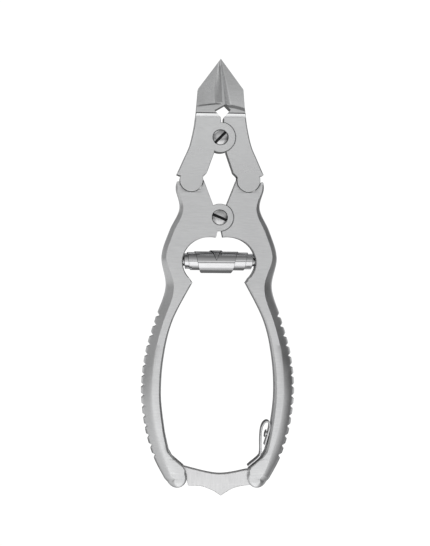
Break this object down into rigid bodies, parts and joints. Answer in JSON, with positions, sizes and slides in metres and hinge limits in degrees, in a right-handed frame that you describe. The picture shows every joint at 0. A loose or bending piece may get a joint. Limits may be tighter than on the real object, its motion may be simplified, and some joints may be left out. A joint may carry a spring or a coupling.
{
  "type": "nail nipper",
  "caption": "Double-action nail nipper of stainless steel with toothed grips, a barrel spring between the handles and a closing bar at the feet.",
  "frame": {"origin": "middle of the nipper's width and depth, at the height of its lowest point, the point of the closing bar, with the tip of the jaws straight up", "axes": "+Z from the feet of the handles to the tip of the jaws, +X to the right seen from the front, +Y to the back, so the screw heads face -Y"},
  "size_m": [0.054, 0.0087, 0.1536],
  "materials": {
    "satin_steel": "satin brushed",
    "jaw_steel": "satin plate with ground blades",
    "screw_steel": "turned, half bright",
    "spring_steel": "bright rolled strip",
    "bar_steel": "satin"
  },
  "bodies": {
    "left_handle": {"handle_left": "satin_steel", "spring_stud_left": "screw_steel", "catch_pin": "screw_steel", "barrel_spring": "spring_steel"},
    "right_handle": {"handle_right": "satin_steel", "spring_stud_right": "screw_steel", "handle_pivot_screw": "screw_steel", "latch_pivot_pin": "screw_steel", "latch_spring": "spring_steel", "latch_spring_rivet": "screw_steel"},
    "left_jaw": {"jaw_left": "jaw_steel"},
    "right_jaw": {"jaw_right": "jaw_steel", "jaw_pivot_screw": "screw_steel"},
    "latch": {"latch_bar": "bar_steel"}
  },
  "joints": [
    {"name": "handle_hinge", "type": "hinge", "parent": "left_handle", "child": "right_handle", "pos_m": [0, 0, 0.0979], "axis": [0, -1, 0], "range_deg": [0, 26], "deforming": ["barrel_spring"]},
    {"name": "left_knob", "type": "hinge", "parent": "left_handle", "child": "left_jaw", "pos_m": [-0.01, 0, 0.1109], "axis": [0, -1, 0], "range_deg": [0, 24.6]},
    {"name": "jaw_hinge", "type": "hinge", "parent": "left_jaw", "child": "right_jaw", "pos_m": [0, 0, 0.1258], "axis": [0, -1, 0], "range_deg": [-23.1, 0]},
    {"name": "latch_hinge", "type": "hinge", "parent": "right_handle", "child": "latch", "pos_m": [0.0126, 0, 0.0066], "axis": [0, -1, 0], "range_deg": [0, 90]}
  ],
  "couplings": [
    {"joint": "left_knob", "follows": "handle_hinge", "ratio": 0.9425},
    {"joint": "jaw_hinge", "follows": "handle_hinge", "ratio": -0.885}
  ]
}
